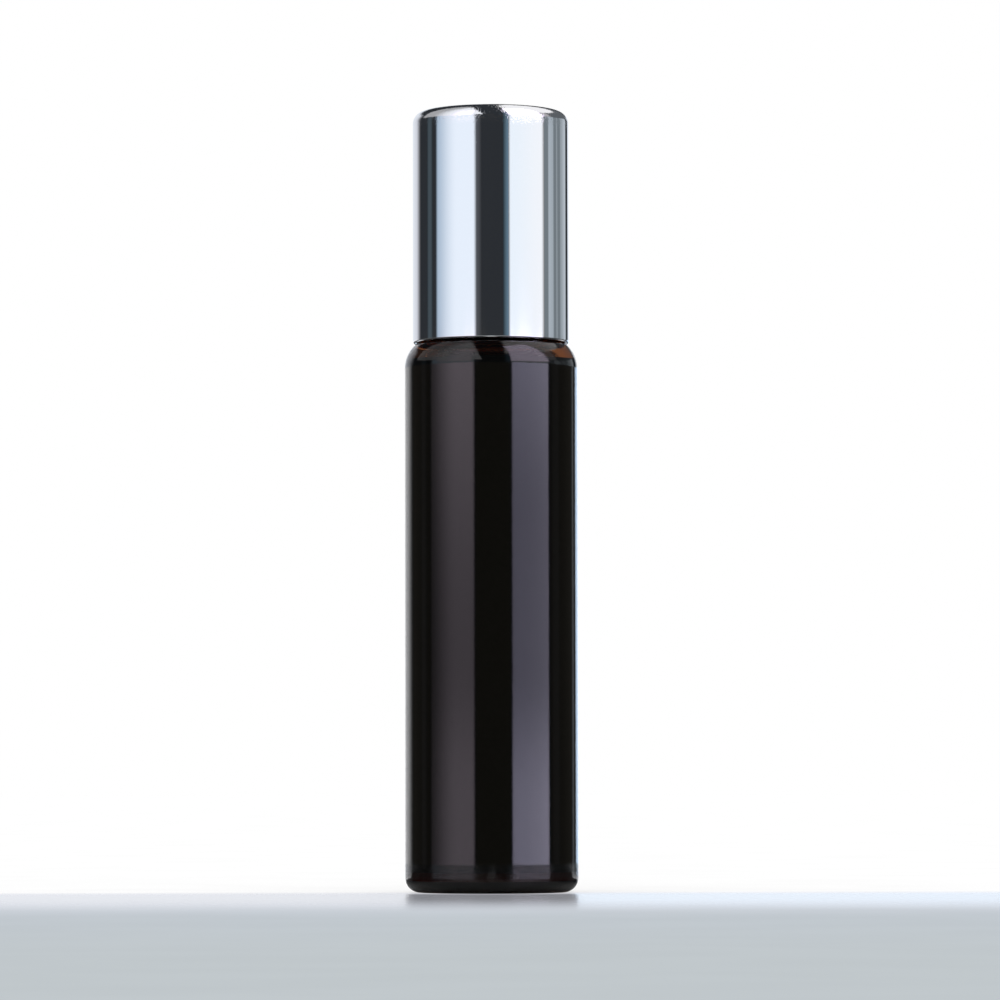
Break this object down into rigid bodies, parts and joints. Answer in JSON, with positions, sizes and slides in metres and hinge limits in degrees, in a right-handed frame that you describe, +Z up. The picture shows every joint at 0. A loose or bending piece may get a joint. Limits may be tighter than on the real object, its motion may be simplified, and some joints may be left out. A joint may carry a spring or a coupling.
{
  "type": "roll on bottle",
  "caption": "Slim cylindrical dark amber glass roll-on bottle with a ball in a snap housing and a screw cap of polished metal over a threaded inner cap.",
  "frame": {"origin": "centre of the bottle's base, in the plane that it stands on", "axes": "+Z up along the bottle's axis, towards the cap; X and Y are alike, because the bottle is round"},
  "size_m": [0.019, 0.019, 0.086],
  "materials": {
    "amber_glass": "smooth fire-polished dark amber glass, almost black in the thick of the wall",
    "natural_plastic": "natural milky moulded polyethylene",
    "ball_steel": "polished stainless steel",
    "pad_foam": "soft white closed-cell foam",
    "white_plastic": "white moulded polypropylene",
    "polished_metal": "bright polished drawn aluminium"
  },
  "bodies": {
    "glass": {"bottle": "amber_glass", "roller_housing": "natural_plastic"},
    "ball": {"roller_ball": "ball_steel"},
    "pad": {"seal_pad": "pad_foam"},
    "cap": {"cap_liner": "white_plastic", "cap_shell": "polished_metal"}
  },
  "joints": [
    {"name": "ball_roll", "type": "hinge", "parent": "glass", "child": "ball", "pos_m": [0, 0, 0.0764], "axis": [1, 0, 0], "continuous": true},
    {"name": "cap_lift", "type": "slide", "parent": "glass", "child": "pad", "axis": [0, 0, 1], "range_m": [0, 0.024]},
    {"name": "cap_turn", "type": "hinge", "parent": "pad", "child": "cap", "pos_m": [0, 0, 0.07], "axis": [0, 0, 1], "range_deg": [0, 2880]}
  ],
  "couplings": [
    {"joint": "cap_lift", "follows": "cap_turn", "m_per_rad": 0.00047746}
  ]
}
